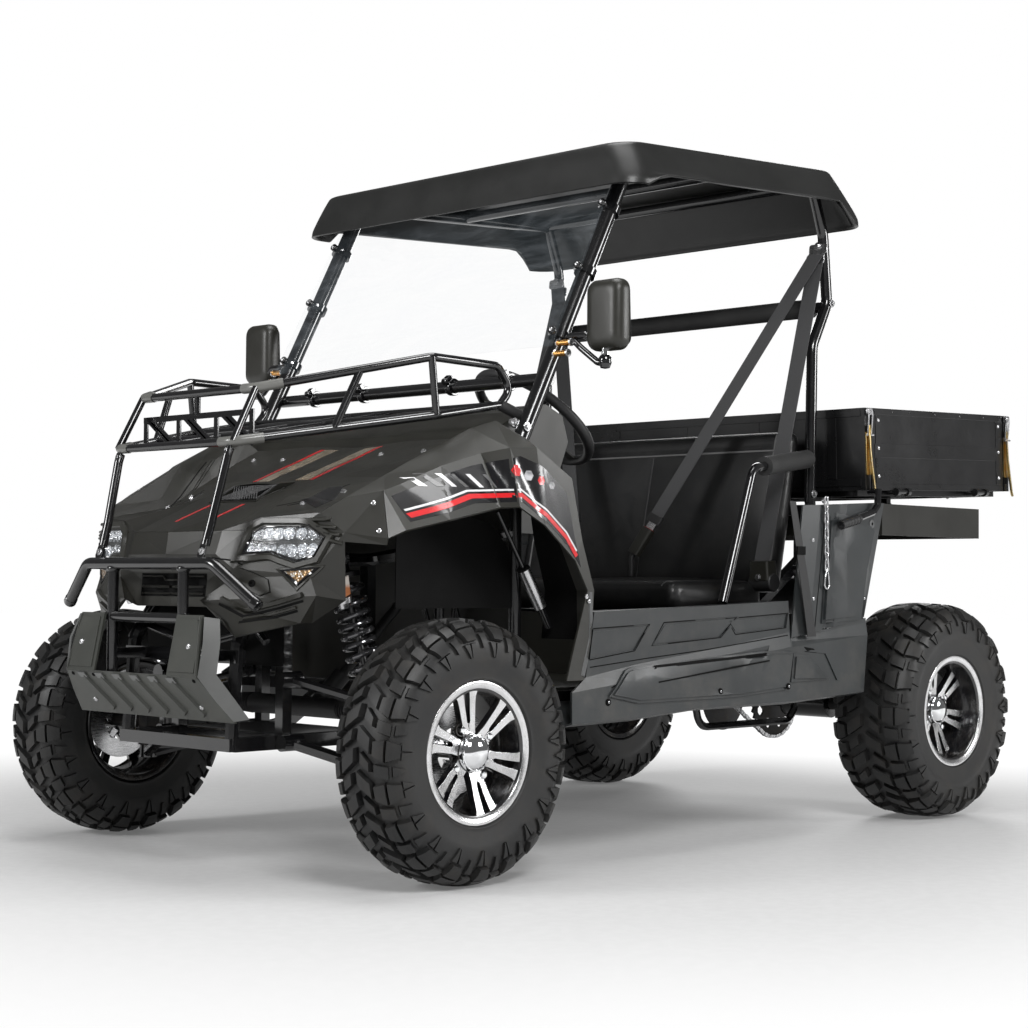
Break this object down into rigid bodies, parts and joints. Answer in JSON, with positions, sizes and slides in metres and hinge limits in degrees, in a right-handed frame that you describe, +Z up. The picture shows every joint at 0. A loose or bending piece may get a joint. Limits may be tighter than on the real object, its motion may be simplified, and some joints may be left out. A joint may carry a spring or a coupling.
{
  "type": "side by side utility vehicle",
  "caption": "Two-seat side by side utility vehicle with a roll cage and canopy, front rack, knobbly tyres and a tipping drop-side cargo bed.",
  "frame": {"origin": "on the ground under the middle of the vehicle", "axes": "+X forward, +Y to the left, +Z up"},
  "size_m": [2.4886, 1.348, 1.6291],
  "materials": {
    "tyre": "moulded rubber",
    "machined_alloy": "machined face with black pockets",
    "black_tube": "gloss black powder coat",
    "cast_iron": "satin black casting",
    "shock_paint": "black spring paint",
    "zinc": "zinc plate",
    "black_plastic": "grained moulded plastic",
    "soft_rubber": "soft foam and rubber grip",
    "clear_sheet": "clear polycarbonate sheet",
    "lamp_glass": "clear lens",
    "red_lens": "red moulded lens",
    "black_sheet": "black powder coated sheet",
    "vinyl": "black grained vinyl",
    "webbing": "woven webbing"
  },
  "bodies": {
    "root": {"control_arms": "black_tube", "dashboard": "black_plastic", "engine_block": "cast_iron", "exhaust_muffler": "black_sheet", "floor_pan": "black_sheet", "foam_pads": "soft_rubber", "front_bumper": "black_tube", "front_fascia": "black_plastic", "front_frame": "black_tube", "front_rack": "black_tube", "headlamps": "lamp_glass", "hip_bars": "black_tube", "hood": "black_plastic", "left_front_fender": "black_plastic", "lower_frame": "black_tube", "mirrors": "black_plastic", "quarter_panels": "black_plastic", "rack_braces": "black_tube", "rear_frame": "black_tube", "rear_swing_arm": "black_tube", "rear_tub": "black_plastic", "right_front_fender": "black_plastic", "rocker_panels": "black_plastic", "roll_cage": "black_tube", "roof_canopy": "black_plastic", "screen_clamps": "zinc", "seat_backrest": "vinyl", "seat_base": "black_sheet", "seat_belts": "webbing", "seat_cushion": "vinyl", "shock_absorbers": "shock_paint", "skid_plate": "black_plastic", "steering_column": "soft_rubber", "tail_lamps": "red_lens", "wheel_liners": "black_plastic", "windscreen": "clear_sheet"},
    "left_knuckle": {"left_knuckle": "cast_iron"},
    "right_knuckle": {"right_knuckle": "cast_iron"},
    "front_left_wheel": {"front_left_rim": "machined_alloy", "front_left_tyre": "tyre"},
    "front_right_wheel": {"front_right_rim": "machined_alloy", "front_right_tyre": "tyre"},
    "rear_wheels": {"rear_axle": "cast_iron", "rear_left_rim": "machined_alloy", "rear_left_tyre": "tyre", "rear_right_rim": "machined_alloy", "rear_right_tyre": "tyre"},
    "tie_rods": {"tie_rods": "zinc"},
    "steering_wheel": {"steering_wheel": "soft_rubber"},
    "bed": {"bed_tub": "black_sheet", "bed_lever": "black_tube", "gate_latches": "zinc"},
    "left_gate": {"left_gate": "black_sheet"},
    "right_gate": {"right_gate": "black_sheet"},
    "tailgate": {"tailgate": "black_sheet"}
  },
  "joints": [
    {"name": "left_steer", "type": "hinge", "parent": "root", "child": "left_knuckle", "pos_m": [0.87, 0.452, 0.262], "axis": [0, 0, 1], "range_deg": [-27, 27]},
    {"name": "right_steer", "type": "hinge", "parent": "root", "child": "right_knuckle", "pos_m": [0.87, -0.452, 0.262], "axis": [0, 0, 1], "range_deg": [-27, 27]},
    {"name": "rack_travel", "type": "slide", "parent": "root", "child": "tie_rods", "axis": [0, 1, 0], "range_m": [-0.034, 0.034]},
    {"name": "steering_wheel_turn", "type": "hinge", "parent": "root", "child": "steering_wheel", "pos_m": [0.33, 0.23, 0.938], "axis": [-0.6003, 0.1656, 0.7824], "range_deg": [-245, 245]},
    {"name": "front_left_spin", "type": "hinge", "parent": "left_knuckle", "child": "front_left_wheel", "pos_m": [0.87, 0.567, 0.262], "axis": [0, 1, 0], "continuous": true},
    {"name": "front_right_spin", "type": "hinge", "parent": "right_knuckle", "child": "front_right_wheel", "pos_m": [0.87, -0.567, 0.262], "axis": [0, 1, 0], "continuous": true},
    {"name": "rear_axle_spin", "type": "hinge", "parent": "root", "child": "rear_wheels", "pos_m": [-0.822, 0, 0.274], "axis": [0, 1, 0], "continuous": true},
    {"name": "bed_tip", "type": "hinge", "parent": "root", "child": "bed", "pos_m": [-1.08, 0, 0.812], "axis": [0, -1, 0], "range_deg": [0, 45]},
    {"name": "left_gate_fold", "type": "hinge", "parent": "bed", "child": "left_gate", "pos_m": [-0.8395, 0.583, 0.83494], "axis": [-0.9995, 0, 0.0332], "range_deg": [0, 110]},
    {"name": "right_gate_fold", "type": "hinge", "parent": "bed", "child": "right_gate", "pos_m": [-0.8395, -0.583, 0.83494], "axis": [0.9995, 0, -0.0332], "range_deg": [0, 110]},
    {"name": "tailgate_fold", "type": "hinge", "parent": "bed", "child": "tailgate", "pos_m": [-1.23429, 0, 0.84804], "axis": [0, -1, 0], "range_deg": [0, 110]}
  ],
  "couplings": [
    {"joint": "right_steer", "follows": "left_steer", "ratio": 1},
    {"joint": "rack_travel", "follows": "left_steer", "m_per_rad": -0.07},
    {"joint": "steering_wheel_turn", "follows": "left_steer", "ratio": 9}
  ]
}
